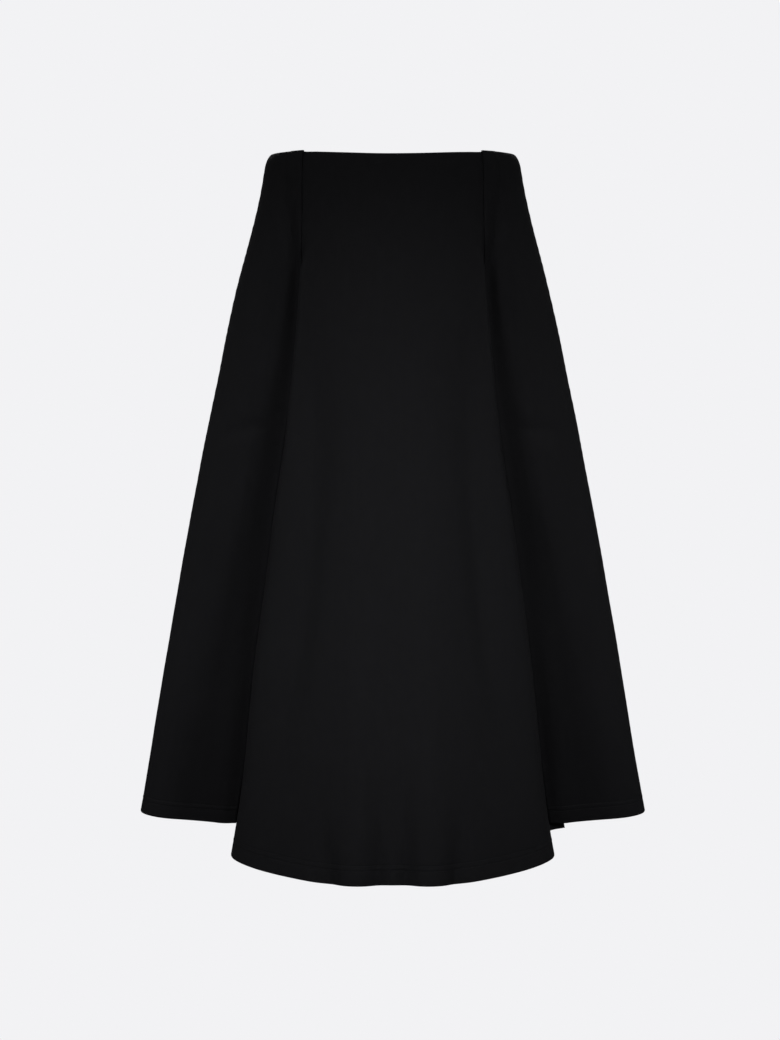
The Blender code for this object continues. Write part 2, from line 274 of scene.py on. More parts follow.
# A column of a panel runs from waist to hem. It lies a share of the way from one station of the outline to
# another, after starting some metres and some allowance widths beyond the first and stopping short of the
# second. It is lifted outwards where it lies on an allowance, and comes down beyond it. It has its own share
# of the turnings' thickness, and its distance from the panel's sewn or cut edge rounds that edge off.
Column = namedtuple(
    "Column",
    "start end share top hem extra laps short lift beyond turned edge",
    defaults=(0.0, 0.0, 0.0, 0.0, 0.0, 1.0, 1.0),
)

ROUND_EDGE = 0.0013  # an edge is rounded off over this distance
ROUND_LEFT = 0.12  # share of the thickness that is left at the very edge
EDGE_STEPS = (0.0, 0.0003, 0.0008, 0.0014)  # distances from an edge that its round needs points at
TURN_FADE = 0.0004  # half the width of the step at a turning's cut edge
TOP_ROWS = EDGE_STEPS + (0.0028, 0.0045, 0.0070, 0.0100, 0.0130, 0.0160, 0.0190, 0.0220)
TOP_ROWS += (WAIST_TURN - TURN_FADE, WAIST_TURN, WAIST_TURN + TURN_FADE)
STITCH_ROWS = (0.0198, 0.0145)  # the twin needle's two rows, above the hem's edge
HEM_ROWS = (0.0250, HEM_TURN + TURN_FADE, HEM_TURN, HEM_TURN - TURN_FADE)
HEM_ROWS += (0.0206, STITCH_ROWS[0], 0.0190, 0.0172, 0.0153, STITCH_ROWS[1], 0.0137, 0.0120)
HEM_ROWS += (0.0095, 0.0070, 0.0045, 0.0028) + EDGE_STEPS[::-1]
BODY_ROWS = 150
BODY_MARGIN = 0.0030  # the even rows start and end this far from the rows at the turnings
STITCH_DENT = 0.00028
STITCH_DENT_WIDTH = 0.0007
TUNNEL = 0.00022  # the cloth between the two rows is drawn up by this
TUNNEL_WIDTH = 0.0017
SEAM_PUCKER = 0.00022
PUCKER_WAVES = 520.0  # radians for each metre of seam
PUCKER_DRIFT = 61.0
PUCKER_SHIFT = 2.0
PUCKER_REACH = 0.006
PUCKER_START = 0.020
TUCK_START = 0.6  # a tuck begins this share of a station behind the crest
LAP_CLEARANCE = 0.0004  # an allowance lies this much lower than its seam
LAP_CLOSE = 0.0006  # the side front's lapped edge is drawn down by this


def on_the_left(columns):
    """The same columns on the other side of the centre front."""
    turned = []
    for c in reversed(columns):
        place = {"start": ROUND - c.start, "end": ROUND - c.end}
        turned.append(c._replace(extra=-c.extra, laps=-c.laps, short=-c.short, **place))
    return turned


def as_arrays(columns):
    """One column whose fields hold the values of all of them."""
    return Column(*np.array(columns, dtype=float).T)


def rounded(distance):
    """Share of the thickness that is left at a distance from an edge."""
    inside = np.clip(1.0 - distance / ROUND_EDGE, 0.0, 1.0)
    return ROUND_LEFT + (1.0 - ROUND_LEFT) * np.sqrt(1.0 - inside * inside)


def row_drops(each):
    """The drop of every row in every column."""
    first = each.top + TOP_ROWS[-1] + BODY_MARGIN
    last = each.hem - HEM_ROWS[0] - BODY_MARGIN
    body = [first + (last - first) * r / (BODY_ROWS - 1) for r in range(BODY_ROWS)]
    rows = [each.top + row for row in TOP_ROWS] + body + [each.hem - row for row in HEM_ROWS]
    return np.array(rows)


def read_levels(drops, per_level):
    """Values known at every level, read between the levels at each row's own drop."""
    place = (drops - LEVELS[0]) / LEVEL_STEP
    low = np.clip(np.floor(place).astype(int), 1, len(LEVELS) - 3)
    part = (place - low)[..., None]
    column = np.arange(drops.shape[1])[None, :]
    before, here, after, beyond = (per_level[low + step, column] for step in (-1, 0, 1, 2))
    bend = 2.0 * before - 5.0 * here + 4.0 * after - beyond
    twist = 3.0 * (here - after) + beyond - before
    return here + 0.5 * part * (after - before + part * (bend + part * twist))


def unit(vectors):
    """The same directions, each with a length of 1."""
    return vectors / np.linalg.norm(vectors, axis=-1)[..., None]


def middle_of(each, drops):
    """The middle of the cloth at every row of every column."""
    places, outwards = [], []
    for drop, (curve, along) in zip(LEVELS, OUTLINES):
        stations = np.arange(len(along))
        start = np.interp(each.start, stations, along)
        end = np.interp(each.end, stations, along)
        reach = each.extra + each.laps * blend(ALLOWANCE[0], ALLOWANCE[1], max(drop, 0.0))
        place, run = curve.at(start + reach + each.share * (end - start - reach - each.short))
        places.append(place)
        outwards.append(unit(np.stack((run[:, 1], -run[:, 0]), axis=1)))
    place = read_levels(drops, np.array(places))
    outward = read_levels(drops, np.array(outwards))
    sideways = ROLL_AT_FRONT + (1.0 - ROLL_AT_FRONT) * outward[..., 0] ** 2
    roll = WAIST_ROLL * sideways * np.exp(-np.maximum(drops - each.top, 0.0) / ROLL_REACH)
    place = place - outward * roll[..., None]
    return np.concatenate((place, -drops[..., None]), axis=2)


def outward_of(points):
    """The direction square to the cloth at every point, outwards."""
    return unit(np.cross(np.gradient(points, axis=0), np.gradient(points, axis=1)))


# A soft crease or swell follows a few points: across the front as it is looked at, down from the waist, and
# how far the cloth stands out there. A negative one is a trough. It fades out to both sides over its width.
Crease = namedtuple("Crease", "width points")


def crease_height(crease, x, drop):
    """How far one crease lifts the cloth at every point."""
    points = np.array(crease.points)
    runs_down = np.ptp(points[:, 1]) > np.ptp(points[:, 0])
    along, aside = (drop, x) if runs_down else (x, drop)
    order = (1, 0, 2) if runs_down else (0, 1, 2)
    points = points[np.argsort(points[:, order[0]])][:, order]
    curve = SmoothCurve(points[:, 0], points[:, 1:])
    inside = np.clip(along, points[0, 0], points[-1, 0])
    value, slope = curve.at(inside.ravel())
    middle = value[:, 0].reshape(x.shape)
    height = value[:, 1].reshape(x.shape)
    lean = np.sqrt(1.0 + slope[:, 0].reshape(x.shape) ** 2)
    distance = (aside - middle) / lean
    return height * np.exp(-((distance / crease.width) ** 2) - ((along - inside) / crease.width) ** 2)


# Each unevenness is the product of two waves, each with its radians a metre along X, Y and Z.
Uneven = namedtuple("Uneven", "height wave cross shift")
HAND = (
    Uneven(0.00035, (41.0, 17.0, -9.0), (13.0, -29.0, 23.0), 0.7),
    Uneven(0.00012, (97.0, 53.0, 31.0), (29.0, -71.0, -61.0), 0.2),
)


def hand_of_cloth(points):
    """The slow unevenness that all cloth has, well under a millimetre."""
    return sum(u.height * np.sin(points @ u.wave) * np.sin(points @ u.cross + u.shift) for u in HAND)


HOLLOW_PATH = (
    (0.078, 0.170, 0.0),
    (0.080, 0.250, -0.0038),
    (0.083, 0.330, -0.0066),
    (0.090, 0.410, -0.0074),
    (0.098, 0.490, -0.0070),
    (0.110, 0.560, -0.0054),
    (0.122, 0.620, -0.0026),
    (0.132, 0.690, 0.0),
)
RIDGE_PATH = (
    (0.101, 0.240, 0.0),
    (0.110, 0.340, 0.0010),
    (0.122, 0.440, 0.0014),
    (0.138, 0.560, 0.0010),
    (0.146, 0.660, 0.0),
)
TUCK_PATH = (
    (0.1085, 0.020, 0.0),
    (0.1095, 0.048, -0.0028),
    (0.1095, 0.080, -0.0060),
    (0.1070, 0.105, -0.0056),
    (0.1035, 0.135, -0.0050),
    (0.1040, 0.170, -0.0044),
    (0.1070, 0.220, -0.0030),
    (0.1140, 0.300, 0.0),
)


def other_side(path, in_by=0.0, more=1.0):
    """The same path on the other side of the middle, a little further in and more or less deep."""
    return tuple((in_by - x, drop, height * more) for x, drop, height in path)


# where the fold begins, the cloth tucks in just beyond each front seam, the allowances with it
TUCKS = (Crease(0.0072, TUCK_PATH), Crease(0.0072, other_side(TUCK_PATH, 0.001, 1.05)))

CENTRE_CREASES = (
    # a long hollow next to the fold's edge, which stands forward beside it
    Crease(0.0165, HOLLOW_PATH),
    Crease(0.0165, other_side(HOLLOW_PATH, 0.001, 0.96)),
    Crease(0.0100, RIDGE_PATH),
    Crease(0.0100, other_side(RIDGE_PATH, 0.001, 0.90)),
    # broad swells on both sides of the middle
    Crease(0.020, ((0.034, 0.300, 0.0), (0.035, 0.480, 0.0012), (0.036, 0.746, 0.0020))),
    Crease(0.020, ((-0.035, 0.320, 0.0), (-0.034, 0.500, 0.0013), (-0.035, 0.746, 0.0018))),
    # ripples that run up from the hem
    Crease(0.0105, ((0.072, 0.630, 0.0), (0.069, 0.690, -0.0026), (0.066, 0.746, -0.0092))),
    Crease(0.0105, ((-0.073, 0.635, 0.0), (-0.069, 0.692, -0.0024), (-0.066, 0.746, -0.0088))),
    Crease(0.0100, ((0.011, 0.625, 0.0), (0.013, 0.690, -0.0026), (0.014, 0.746, -0.0078))),
    Crease(0.0100, ((-0.013, 0.635, 0.0), (-0.014, 0.692, -0.0024), (-0.014, 0.746, -0.0074))),
)


def closed_sheet(name, outer, inner):
    """A closed wall between two grids of points, with the cloth's own measure as its UV map, in metres."""
    rows, count, _ = outer.shape
    total = rows * count
    grid = np.arange(total).reshape(rows, count)
    here, right = grid[:, :-1], grid[:, 1:]
    faces = [np.stack((here[:-1], here[1:], right[1:], right[:-1]), axis=-1).reshape(-1, 4)]
    faces.append(total + faces[0][:, ::-1])
    rim = np.concatenate((grid[0, ::-1], grid[1:-1, 0], grid[-1], grid[-2:0:-1, -1]))
    after = np.roll(rim, -1)
    faces.append(np.stack((rim, after, total + after, total + rim), axis=1)[:, ::-1])
    faces = np.concatenate(faces)
    mesh = bpy.data.meshes.new(name)
    points = np.concatenate((outer.reshape(-1, 3), inner.reshape(-1, 3)))
    mesh.from_pydata(points.tolist(), [], faces.tolist())
    # metres across from the panel's middle, and metres down from its top
    middle = (outer + inner) / 2
    across = np.cumsum(np.linalg.norm(np.diff(middle, axis=1, prepend=middle[:, :1]), axis=2), axis=1)
    across -= across[:, count // 2 : count // 2 + 1]
    down = np.cumsum(np.linalg.norm(np.diff(middle, axis=0, prepend=middle[:1]), axis=2), axis=0)
    measure = np.stack((across, down), axis=2).reshape(-1, 2)
    corners = np.zeros(len(mesh.loops), dtype=int)
    mesh.loops.foreach_get("vertex_index", corners)
    measure = np.concatenate((measure, measure))[corners]
    mesh.uv_layers.new(name="cloth").data.foreach_set("uv", measure.ravel())
    mesh.shade_smooth()
    sheet = bpy.data.objects.new(name, mesh)
    bpy.context.scene.collection.objects.link(sheet)
    return sheet


Surface = namedtuple("Surface", "columns drops outer inner normal")


def build_panel(name, columns, creases, tucks=()):
    """One panel as a closed wall with rounded edges. Returns its object and what its stitches need."""
    each = as_arrays(columns)
    drops = row_drops(each)
    below, above = drops - each.top, each.hem - drops
    middle = middle_of(each, drops)
    normal = outward_of(middle)
    relief = hand_of_cloth(middle)
    for crease in creases:
        relief += crease_height(crease, middle[..., 0], drops)
    station = each.start + (each.end - each.start) * each.share
    behind_crest = ease(np.minimum(station, ROUND - station), CREST + TUCK_START, SEAM)
    for tuck in tucks:
        relief += behind_crest * crease_height(tuck, middle[..., 0], drops)
    # puckers fade out a little way in from the sewn edges
    pucker = np.sin(drops * PUCKER_WAVES + PUCKER_SHIFT * np.sin(drops * PUCKER_DRIFT))
    relief += SEAM_PUCKER * pucker * np.exp(-each.edge / PUCKER_REACH) * ease(below, 0.0, PUCKER_START)
    middle = middle + normal * relief[..., None]
    normal = outward_of(middle)
    lap_end = blend(LAP_EASE[0], LAP_EASE[1], np.maximum(drops, 0.0))
    lift = each.lift * (1.0 - ease(each.beyond, 0.0, lap_end))
    level = normal * (1.0, 1.0, 0.0)
    middle = middle + level * (lift / np.linalg.norm(level, axis=2))[..., None]
    dent = TUNNEL * np.exp(-(((above - sum(STITCH_ROWS) / 2) / TUNNEL_WIDTH) ** 2))
    for row in STITCH_ROWS:
        dent -= STITCH_DENT * np.exp(-(((above - row) / STITCH_DENT_WIDTH) ** 2))
    thick_waist = 1.0 - ease(below, WAIST_TURN - TURN_FADE, WAIST_TURN + TURN_FADE)
    thick_hem = 1.0 - ease(above, HEM_TURN - TURN_FADE, HEM_TURN + TURN_FADE)
    turning = TURN_CLOTH * each.turned * np.maximum(thick_waist, thick_hem)
    core = dent - turning / 2
    half = (CLOTH + turning) / 2 * rounded(below) * rounded(above)
    # a sewn edge is rounded off on the outside only, and a lapped one is drawn down onto the cloth below it
    drawn_down = LAP_CLOSE * (lift > CLOTH) * np.clip(1.0 - each.edge / ROUND_EDGE, 0.0, 1.0)
    outer = middle + normal * (core + half * rounded(each.edge) - drawn_down)[..., None]
    inner = middle + normal * (core - half - drawn_down)[..., None]
    return closed_sheet(name, outer, inner), Surface(columns, drops, outer, inner, normal)


def evenly(first, last, count):
    """Shares from first up to last, evenly spaced, without the last one."""
    return [first + (last - first) * i / count for i in range(count)]


FRONT_COLUMNS = 46  # from the middle to the station before the crest
FOLD_COLUMNS = 38  # from there to the seam
ALLOWANCE_SHARES = (0.0, 0.1, 0.25, 0.4, 0.55, 0.7, 0.85)
LAP_SINK = 0.3  # share of its width over which an allowance sinks by its clearance
TURNED_TO = (0.5, 0.15)  # the turnings thin out between these shares of a station before the seam


def centre_columns():
    """The centre front with its two seam allowances, from the left-hand one to the right-hand one."""
    halves = []
    hems = ((LEFT_SEAM_HEM, LEFT_SEAM_HEM), (RIGHT_SEAM_HEM, RIGHT_ALLOWANCE_HEM))
    for seam_hem, allowance_hem in hems:
        half = []
        for start, end, count in ((0, CREST - 1, FRONT_COLUMNS), (CREST - 1, SEAM, FOLD_COLUMNS)):
            for share in evenly(0.0, 1.0, count):
                station = start + (end - start) * share
                top = -CENTRE_CROWN * ease(station, 0.0, CREST)
                hem = CENTRE_HEM + (seam_hem - CENTRE_HEM) * ease(station, CREST, SEAM)
                turned = 1.0 - ease(station, SEAM - TURNED_TO[0], SEAM - TURNED_TO[1])
                half.append(Column(start, end, share, top, hem, turned=turned))
        allowance = Column(SEAM, SEAM, 0.0, -CENTRE_CROWN, allowance_hem, turned=0.0)
        for laps in ALLOWANCE_SHARES:
            hem = seam_hem + (allowance_hem - seam_hem) * laps
            lift = -LAP_CLEARANCE * ease(laps, 0.0, LAP_SINK)
            half.append(allowance._replace(hem=hem, laps=laps, lift=lift))
        for inside in EDGE_STEPS[::-1]:
            half.append(allowance._replace(extra=-inside, laps=1.0, lift=-LAP_CLEARANCE, edge=inside))
        halves.append(half)
    left, right = halves
    return on_the_left(left[1:]) + right


class Value:
    """One output of a node. Sums and products of values add Math nodes to the same tree."""

    def __init__(self, nodes, socket):
        self.nodes = nodes
        self.socket = socket

    def math(self, operation, first, second):
        return self.nodes.add("ShaderNodeMath", {"operation": operation}, {0: first, 1: second})

    def __add__(self, other):
        return self.math("ADD", self, other)

    __radd__ = __add__

    def __sub__(self, other):
        return self.math("SUBTRACT", self, other)

    def __rsub__(self, other):
        return self.math("SUBTRACT", other, self)

    def __mul__(self, other):
        return self.math("MULTIPLY", self, other)

    __rmul__ = __mul__

    def __mod__(self, other):
        return self.math("MODULO", self, other)

    def __rmod__(self, other):
        return self.math("MODULO", other, self)


class Nodes:
    """A tree of nodes, and the one way to add a node to it."""

    def __init__(self, tree):
        self.tree = tree

    def add(self, kind, settings, inputs, output=0):
        """Add a node, set it up, then give its sockets their values or links. Returns one of its outputs."""
        node = self.tree.nodes.new(kind)
        for name, value in settings.items():
            setattr(node, name, value)
        for name, value in inputs.items():
            self.give(node.inputs[name], value)
        if output is None:
            return [Value(self, socket) for socket in node.outputs]
        return Value(self, node.outputs[output])

    def give(self, socket, value):
        """Link a value to a socket, or set the socket to a number or colour."""
        if isinstance(value, Value):
            self.tree.links.new(value.socket, socket)
        else:
            socket.default_value = value

    def sine(self, value):
        return self.add("ShaderNodeMath", {"operation": "SINE"}, {0: value})

    def colour_between(self, share, dark, light):
        inputs = {"Factor": share, "A": dark, "B": light}
        return self.add("ShaderNodeMix", {"data_type": "RGBA"}, inputs, output=2)


def new_material(name):
    """A material, its nodes, and the inputs of its surface."""
    material = bpy.data.materials.new(name)
    material.use_nodes = True
    return material, Nodes(material.node_tree), material.node_tree.nodes["Principled BSDF"].inputs


WALE = 0.00090  # width of one column of knit loops
COURSE = 0.00075  # height of one row of them
KNIT_DARK = (0.0030, 0.0030, 0.0037, 1.0)
KNIT_LIGHT = (0.0114, 0.0114, 0.0134, 1.0)
KNIT_BUMP = 0.00030


def knit_material():
    """Black double knit: fine columns of loops with a short soft nap, matt, a little uneven in dye, with
    painted shade in the grooves between the wales.
    """
    material, nodes, surface = new_material("black_double_knit")
    cloth = nodes.add("ShaderNodeUVMap", {"uv_map": "cloth"}, {})
    across, down, _ = nodes.add("ShaderNodeSeparateXYZ", {}, {0: cloth}, output=None)

    # loops: each wale is a rib of small slanted strokes
    wales = nodes.sine(across * (2.0 * math.pi / WALE))
    strokes = nodes.sine(down * (2.0 * math.pi / COURSE) + wales * 1.2)
    loops = wales * 0.6 + strokes * 0.4

    def noise(scale, stretch, detail):
        size = (scale, scale * stretch, scale)
        placed = nodes.add("ShaderNodeMapping", {}, {"Vector": cloth, "Scale": size})
        return nodes.add("ShaderNodeTexNoise", {}, {"Vector": placed, "Scale": 1.0, "Detail": detail})

    nap = noise(scale=700.0, stretch=0.7, detail=3.0)
    streaks = noise(scale=210.0, stretch=0.06, detail=2.0)
    heather = noise(scale=110.0, stretch=0.7, detail=1.0)
    patches = noise(scale=16.0, stretch=0.8, detail=2.0)
    # colour: the streaks, patches, heather and nap are the dye's own unevenness; the loops add painted
    # shade, darker in the grooves between the wales
    shade = streaks * 0.28 + patches * 0.28 + heather * 0.22 + nap * 0.22 + loops * 0.12
    height = loops * 0.5 + nap * 0.6 + streaks * 0.3
    bump = nodes.add("ShaderNodeBump", {}, {"Strength": 0.8, "Distance": KNIT_BUMP, "Height": height})
    nodes.give(surface["Base Color"], nodes.colour_between(shade, KNIT_DARK, KNIT_LIGHT))
    nodes.give(surface["Roughness"], 0.56 + patches * 0.12 + streaks * 0.08)
    nodes.give(surface["Normal"], bump)
    surface["Specular IOR Level"].default_value = 0.12
    return material


KNIT = knit_material()

centre, centre_surface = build_panel("centre_front_panel", centre_columns(), CENTRE_CREASES, TUCKS)
centre.data.materials.append(KNIT)
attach(centre, "root")
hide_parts("front_centre")


# --------------------------------------------------------------------------------------------------------
# The two side fronts: narrow panels of the same knit, from the front seam to the side seam. Each lies raised
# over the centre front's allowance along the front seam, then eases down to its own level. Beyond the side
# seam its allowance is pressed back against its inside.

PLAIN_FROM = 0.0135  # columns nearer than this to a side seam run beside it
PRESSED_STEPS = (0.0115, 0.0095, 0.0075, 0.0055, 0.0035, EDGE_STEPS[-1])  # an allowance is pressed there
BESIDE_SEAM = PRESSED_STEPS + EDGE_STEPS[-2::-1]
LAP_STEPS = (0.25, 0.40, 0.55, 0.70, 0.85, 1.0)
BEYOND_LAP = (0.0008, 0.0017, 0.0026, 0.0035, 0.0044, 0.0060)
TURNED_FROM = (0.0020, 0.0060)  # the turnings grow to their full thickness over this stretch beyond the lap
LAP_END = 0.0075
SIDE_COLUMNS = 40
SIDE_REACH = 0.1  # how far a side front goes on beyond the lap, near enough


def side_columns():
    """A side front, from its seam edge, lifted over the allowance, to the side seam."""
    columns = []

    def add(start, across, share=0.0, **rest):
        top = -SIDE_CROWN * (1.0 - across / SIDE_WIDTH_AT_WAIST)
        columns.append(Column(start, SIDE, share, top, SIDE_HEM, lift=CLOTH + SEAM_GAP, **rest))

    for inside in EDGE_STEPS:
        add(SEAM, inside, extra=SEAM_GAP + inside, turned=0.0, edge=inside)
    for laps in LAP_STEPS:
        add(SEAM, laps * ALLOWANCE[0], extra=SEAM_GAP, laps=laps, turned=0.0)
    for beyond in BEYOND_LAP:
        turned = ease(beyond, TURNED_FROM[0], TURNED_FROM[1])
        extra = SEAM_GAP + beyond
        add(SEAM, ALLOWANCE[0] + beyond, extra=extra, laps=1.0, beyond=beyond, turned=turned)
    first = ALLOWANCE[0] + LAP_END
    last = SIDE_WIDTH_AT_WAIST - PLAIN_FROM
    for share in evenly(0.0, 1.0, SIDE_COLUMNS):
        across = first + (last - first) * share
        beyond = LAP_END + SIDE_REACH * share
        add(SEAM, across, share, short=PLAIN_FROM, extra=SEAM_GAP + LAP_END, laps=1.0, beyond=beyond)
    for inside in BESIDE_SEAM:
        add(SIDE, SIDE_WIDTH_AT_WAIST - inside, extra=-inside, beyond=SIDE_REACH, edge=inside)
    return columns


SIDE_CREASES = {
    "left": (
        Crease(0.022, ((-0.135, 0.200, 0.0), (-0.160, 0.360, 0.0012), (-0.188, 0.520, 0.0))),
        Crease(0.008, ((-0.122, 0.288, 0.0), (-0.155, 0.292, -0.0014), (-0.190, 0.303, 0.0))),
        Crease(0.014, ((-0.146, 0.420, 0.0), (-0.170, 0.600, 0.0030), (-0.186, 0.740, 0.0046))),
        Crease(0.022, ((-0.170, 0.380, 0.0), (-0.206, 0.580, -0.0022), (-0.232, 0.740, -0.0040))),
        Crease(0.014, ((-0.128, 0.120, 0.0), (-0.130, 0.180, -0.0006), (-0.134, 0.240, 0.0))),
    ),
    "right": (
        Crease(0.022, ((0.137, 0.190, 0.0), (0.162, 0.360, 0.0013), (0.190, 0.540, 0.0))),
        Crease(0.008, ((0.120, 0.292, 0.0), (0.153, 0.294, -0.0014), (0.188, 0.301, 0.0))),
        Crease(0.014, ((0.147, 0.430, 0.0), (0.172, 0.600, 0.0031), (0.187, 0.740, 0.0044))),
        Crease(0.022, ((0.171, 0.390, 0.0), (0.208, 0.590, -0.0023), (0.233, 0.740, -0.0039))),
        Crease(0.014, ((0.127, 0.130, 0.0), (0.130, 0.190, -0.0006), (0.135, 0.250, 0.0))),
    ),
}

UNDER_CLOTH = 0.0002
PRESSED_RIM = 0.45  # share of the thickness at an allowance's rim
PRESSED_MARGIN = 0.0006  # an allowance ends this far from the turnings


def pressed_allowance(name, surface, seam):
    """The edge of a panel beyond its side seam, pressed flat against its inside, and its cut edge."""
    columns = [i for i, c in enumerate(surface.columns) if c.start == seam and c.edge in PRESSED_STEPS]
    edge = as_arrays([surface.columns[i] for i in columns])
    drops = surface.drops[:, columns]
    below, above = (drops - edge.top).min(axis=1), (edge.hem - drops).min(axis=1)
    clear = (below > WAIST_TURN + PRESSED_MARGIN) & (above > HEM_TURN + PRESSED_MARGIN)
    rows = np.flatnonzero(clear)
    place = np.ix_(rows, columns)
    thick = np.ones((len(rows), len(columns)))
    for rim in (np.s_[0], np.s_[-1], np.s_[:, 0], np.s_[:, -1]):
        thick[rim] *= PRESSED_RIM
    near = UNDER_CLOTH + 0.5 * CLOTH * (1.0 - thick[..., None])
    far = UNDER_CLOTH + 0.5 * CLOTH * (1.0 + thick[..., None])
    near = surface.inner[place] - surface.normal[place] * near
    far = surface.inner[place] - surface.normal[place] * far
    cut, beside = (0, 1) if edge.edge[0] > edge.edge[-1] else (-1, -2)
    cut_edge = far[:, beside], unit(far[:, cut] - far[:, beside])
    return closed_sheet(name, near, far), cut_edge


side_surfaces = {}
cut_edges = []
for side, seam in (("left", LEFT_SIDE), ("right", SIDE)):
    columns = side_columns() if side == "right" else on_the_left(side_columns())
    name = "side_front_panel_" + side
    panel, side_surfaces[side] = build_panel(name, columns, SIDE_CREASES[side], TUCKS)
    panel.data.materials.append(KNIT)
    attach(panel, "root")
    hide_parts("side_front_" + side)
    allowance, cut_edge = pressed_allowance("side_front_allowance_" + side, side_surfaces[side], seam)
    allowance.data.materials.append(KNIT)
    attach(allowance, "root")
    cut_edges.append(cut_edge)


# --------------------------------------------------------------------------------------------------------
# The back: one flared panel of the same knit from side seam to side seam. It hangs in soft, slightly uneven
# flutes that start below the seat and deepen to the hem. Its two allowances are pressed against its inside.

BACK_COLUMNS = 180


def back_columns():
    """The back, from the right-hand side seam to the left-hand one."""
    right = [Column(SIDE, SIDE, 0.0, 0.0, SIDE_HEM, extra=inside, edge=inside) for inside in BESIDE_SEAM]
    columns = right[::-1]
    for share in evenly(0.0, 1.0, BACK_COLUMNS):
        hem = SIDE_HEM + (BACK_HEM - SIDE_HEM) * math.sin(math.pi * share)
        columns.append(Column(SIDE, LEFT_SIDE, share, 0.0, hem, extra=PLAIN_FROM, short=PLAIN_FROM))
    return columns + on_the_left(right[::-1])


BACK_CREASES = (
    Crease(0.022, ((0.060, 0.180, 0.0), (0.072, 0.380, 0.0014), (0.086, 0.620, 0.0))),
    Crease(0.024, ((-0.055, 0.160, 0.0), (-0.066, 0.370, 0.0015), (-0.079, 0.600, 0.0))),
    Crease(0.020, ((0.012, 0.240, 0.0), (0.010, 0.480, -0.0016), (0.016, 0.740, -0.0006))),
    Crease(0.018, ((0.100, 0.250, 0.0), (0.122, 0.500, -0.0018), (0.142, 0.740, -0.0008))),
    Crease(0.018, ((-0.104, 0.270, 0.0), (-0.130, 0.510, -0.0017), (-0.152, 0.740, -0.0007))),
    Crease(0.010, ((-0.033, 0.560, 0.0), (-0.038, 0.670, -0.0012), (-0.042, 0.740, -0.0036))),
    Crease(0.010, ((0.047, 0.590, 0.0), (0.050, 0.680, -0.0010), (0.052, 0.740, -0.0032))),
    Crease(0.014, ((-0.125, 0.165, 0.0), (-0.060, 0.185, -0.0010), (0.012, 0.208, 0.0))),
    Crease(0.014, ((0.122, 0.148, 0.0), (0.070, 0.180, -0.0009), (0.018, 0.216, 0.0))),
    Crease(0.012, ((-0.112, 0.068, 0.0), (-0.075, 0.078, -0.0006), (-0.036, 0.092, 0.0))),
)

back, back_surface = build_panel("back_panel", back_columns(), BACK_CREASES)
back.data.materials.append(KNIT)
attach(back, "root")
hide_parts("back")
for side, seam in (("right", SIDE), ("left", LEFT_SIDE)):
    allowance, cut_edge = pressed_allowance("back_allowance_" + side, back_surface, seam)
    allowance.data.materials.append(KNIT)
    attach(allowance, "root")
    cut_edges.append(cut_edge)


# --------------------------------------------------------------------------------------------------------
# The hem's stitching, in black polyester thread: two rows from a twin needle round the outside, through the
# turned-up hem, and inside it the one thread that runs to and fro between them.

THREAD_WIDTH = 0.00038
LOOPER_WIDTH = 0.00032
STITCH_PITCH = 0.0030
STITCH_LENGTH = 0.0026
SUNK = 0.00008  # how deep a stitch lies in the cloth
THREAD_TWIST = 0.00045
THREAD_BUMP = 0.00005
THREAD_DARK = (0.0040, 0.0040, 0.0048, 1.0)
THREAD_LIGHT = (0.0125, 0.0125, 0.0145, 1.0)


def thread_material():
    """Black spun polyester thread: a fine twist, a little glossier than the cloth."""
    material, nodes, surface = new_material("black_thread")
    place = nodes.add("ShaderNodeTexCoord", {}, {}, output="Object")
    x, y, z = nodes.add("ShaderNodeSeparateXYZ", {}, {0: place}, output=None)
    twist = nodes.sine((x + y + z) * (2.0 * math.pi / THREAD_TWIST))
    fuzz = nodes.add("ShaderNodeTexNoise", {}, {"Vector": place, "Scale": 2500.0, "Detail": 2.0})
    shade = twist * 0.25 + fuzz * 0.5 + 0.25
    height = twist * 0.5 + fuzz
    bump = nodes.add("ShaderNodeBump", {}, {"Strength": 0.5, "Distance": THREAD_BUMP, "Height": height})
    nodes.give(surface["Base Color"], nodes.colour_between(shade, THREAD_DARK, THREAD_LIGHT))
    nodes.give(surface["Roughness"], 0.40 + fuzz * 0.12)
    nodes.give(surface["Normal"], bump)
    surface["Specular IOR Level"].default_value = 0.25
    return material


THREAD = thread_material()


def new_tree(name, sizes):
    """An empty tree for a thread: its nodes, the path it follows, and its named sizes in order."""
    tree = bpy.data.node_groups.new(name, "GeometryNodeTree")
    tree.interface.new_socket("Path", in_out="INPUT", socket_type="NodeSocketGeometry")
    for size in sizes:
        tree.interface.new_socket(size, in_out="INPUT", socket_type="NodeSocketFloat")
    tree.interface.new_socket("Thread", in_out="OUTPUT", socket_type="NodeSocketGeometry")
    nodes = Nodes(tree)
    return nodes, nodes.add("NodeGroupInput", {}, {}, output=None)[: len(sizes) + 1]


def finish_tree(nodes, thread):
    """End a tree with plain smooth geometry in black thread."""
    plain = nodes.add("GeometryNodeRealizeInstances", {}, {"Geometry": thread})
    smooth = nodes.add("GeometryNodeSetShadeSmooth", {}, {"Geometry": plain})
    done = nodes.add("GeometryNodeSetMaterial", {}, {"Geometry": smooth, "Material": THREAD})
    nodes.add("NodeGroupOutput", {}, {0: done}, output=None)
    return nodes.tree


